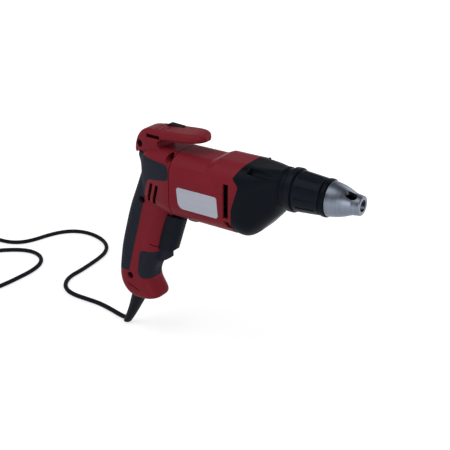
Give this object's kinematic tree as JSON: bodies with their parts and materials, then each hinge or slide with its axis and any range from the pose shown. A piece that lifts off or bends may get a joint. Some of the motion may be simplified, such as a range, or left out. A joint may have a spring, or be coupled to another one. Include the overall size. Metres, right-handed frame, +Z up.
{
  "type": "drywall screwdriver",
  "caption": "Corded pistol-grip drywall screwdriver with a hook over the motor housing, adjustable depth-stop nose, push-in clutch, trigger, reversing lever and mains cord.",
  "frame": {"origin": "middle of the grip on the symmetry plane", "axes": "+X along the spindle towards the nose, +Y to the tool's left, +Z up"},
  "size_m": [0.6657, 0.3167, 0.2632],
  "materials": {
    "red_plastic": "moulded, faintly grained",
    "grip_rubber": "soft matte",
    "dark_plastic": "moulded, satin",
    "black_plastic": "moulded, satin",
    "cast_alloy": "cast",
    "bright_alloy": "turned, brushed",
    "tool_steel": "ground",
    "screw_steel": "blackened",
    "laminated_steel": "laminated",
    "bronze": "sintered",
    "copper": "enamelled",
    "carbon": "graphite",
    "plate_foil": "bare printed foil without print",
    "cord_rubber": "matte",
    "pin_brass": "nickel plated"
  },
  "bodies": {
    "housing": {"motor_housing": "red_plastic", "handle_shell_right": "red_plastic", "handle_shell_left": "red_plastic", "rear_grip_right": "grip_rubber", "rear_grip_left": "grip_rubber", "front_grip_right": "grip_rubber", "front_grip_left": "grip_rubber", "gear_case": "dark_plastic", "gear_case_screws": "screw_steel", "shell_screws": "screw_steel", "gear_plate": "cast_alloy", "gear_bearing": "tool_steel", "front_bearing": "tool_steel", "rear_bearing": "tool_steel", "spindle_bush": "bronze", "stator_core": "laminated_steel", "stator_coils": "copper", "brush_plate": "black_plastic", "rear_bearing_holder": "black_plastic", "brush_holders": "bronze", "carbon_brushes": "carbon", "switch_body": "black_plastic", "trigger_spring": "tool_steel", "capacitor": "black_plastic", "lever_pin": "tool_steel", "nameplate": "plate_foil", "strain_relief": "cord_rubber", "cord": "cord_rubber", "cord_coil": "cord_rubber", "cord_tail": "cord_rubber", "cord_tie": "black_plastic", "plug": "cord_rubber", "plug_pins": "pin_brass"},
    "armature": {"armature_shaft": "tool_steel", "armature_core": "laminated_steel", "armature_windings": "copper", "commutator": "copper", "fan": "black_plastic"},
    "drive": {"drive_gear": "tool_steel", "gear_arbor": "tool_steel"},
    "carrier": {"thrust_washer": "tool_steel", "clutch_spring": "tool_steel"},
    "spindle": {"output_spindle": "tool_steel", "bit_holder": "tool_steel", "screwdriver_bit": "tool_steel"},
    "depth_nose": {"nosepiece": "bright_alloy", "retaining_ring": "dark_plastic"},
    "collar": {"depth_collar": "dark_plastic"},
    "trigger_piece": {"trigger": "black_plastic"},
    "lever": {"reverse_lever": "black_plastic"},
    "slide": {"selector_slide": "black_plastic"}
  },
  "joints": [
    {"name": "armature_spin", "type": "hinge", "parent": "housing", "child": "armature", "pos_m": [0.08, 0, 0.085], "axis": [1, 0, 0], "continuous": true},
    {"name": "drive_spin", "type": "hinge", "parent": "housing", "child": "drive", "pos_m": [0.154, 0, 0.105], "axis": [1, 0, 0], "continuous": true},
    {"name": "bit_spin", "type": "hinge", "parent": "housing", "child": "carrier", "pos_m": [0.18, 0, 0.105], "axis": [1, 0, 0], "continuous": true},
    {"name": "spindle_push", "type": "slide", "parent": "carrier", "child": "spindle", "axis": [-1, 0, 0], "range_m": [0, 0.0025], "stiffness_N_per_m": 3000, "springref_m": -0.001, "deforming": ["clutch_spring"]},
    {"name": "nosepiece_slide", "type": "slide", "parent": "housing", "child": "depth_nose", "axis": [-1, 0, 0], "range_m": [0, 0.006]},
    {"name": "collar_turn", "type": "hinge", "parent": "depth_nose", "child": "collar", "pos_m": [0.2, 0, 0.105], "axis": [1, 0, 0], "range_deg": [0, 720]},
    {"name": "trigger_slide", "type": "slide", "parent": "housing", "child": "trigger_piece", "axis": [-1, 0, 0], "range_m": [0, 0.006], "stiffness_N_per_m": 900, "springref_m": -0.002, "deforming": ["trigger_spring"]},
    {"name": "lever_turn", "type": "hinge", "parent": "housing", "child": "lever", "pos_m": [0.043, 0, 0.0457], "axis": [0, 0, 1], "range_deg": [-9, 9]},
    {"name": "slide_move", "type": "slide", "parent": "housing", "child": "slide", "axis": [1, 0, 0], "range_m": [-0.003, 0.003]}
  ],
  "couplings": [
    {"joint": "drive_spin", "follows": "armature_spin", "ratio": -0.25},
    {"joint": "collar_turn", "follows": "nosepiece_slide", "rad_per_m": 2094.4}
  ]
}
